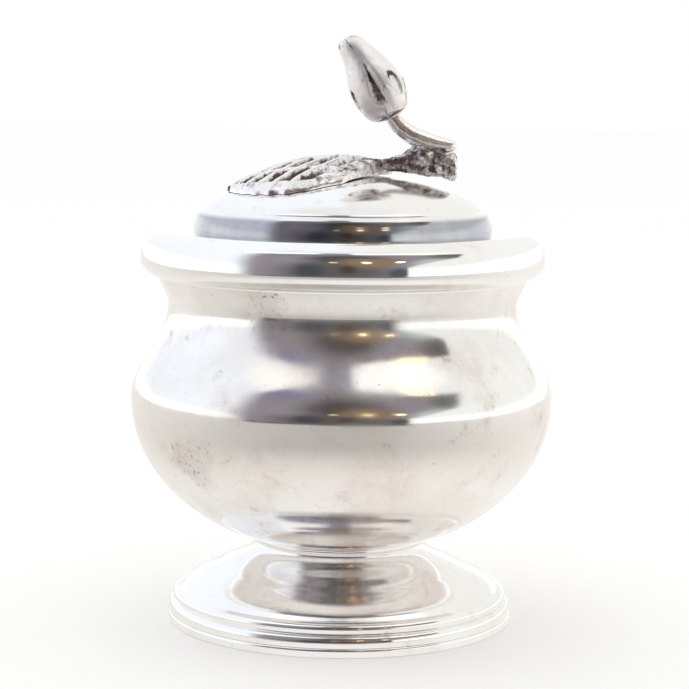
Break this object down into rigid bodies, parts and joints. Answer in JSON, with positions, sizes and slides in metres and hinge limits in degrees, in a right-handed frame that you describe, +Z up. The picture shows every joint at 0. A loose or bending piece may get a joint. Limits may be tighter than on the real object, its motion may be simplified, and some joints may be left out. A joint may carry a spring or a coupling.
{
  "type": "lidded pot",
  "caption": "Small covered pot with a globular bowl on a stepped round foot and a lift-off domed lid with a leaf and rosebud finial.",
  "frame": {"origin": "middle of the foot's flat underside, where the pot stands on the table", "axes": "+Z up along the axis on which bowl, foot and lid are turned; +X towards the sawn end of the twig, so the leaf's tip points to -X"},
  "size_m": [0.0916, 0.0916, 0.1274],
  "materials": {
    "spun_silver": "polished",
    "cast_silver": "gloss",
    "brass_fixings": "satin"
  },
  "bodies": {
    "pot": {"foot_wire": "spun_silver", "foot_shell": "spun_silver", "foot_collar": "spun_silver", "body_shell": "spun_silver", "rim_band": "spun_silver", "mouth_collar": "spun_silver"},
    "lid": {"lid_shell": "spun_silver", "lid_bezel": "spun_silver", "leaf": "cast_silver", "twig": "cast_silver", "bud_stem": "cast_silver", "bud": "cast_silver", "finial_stud": "brass_fixings", "finial_washer": "brass_fixings", "finial_nut": "brass_fixings"}
  },
  "joints": [
    {"name": "lid_lift", "type": "slide", "parent": "pot", "child": "lid", "axis": [0, 0, 1], "range_m": [0, 0.08]}
  ]
}
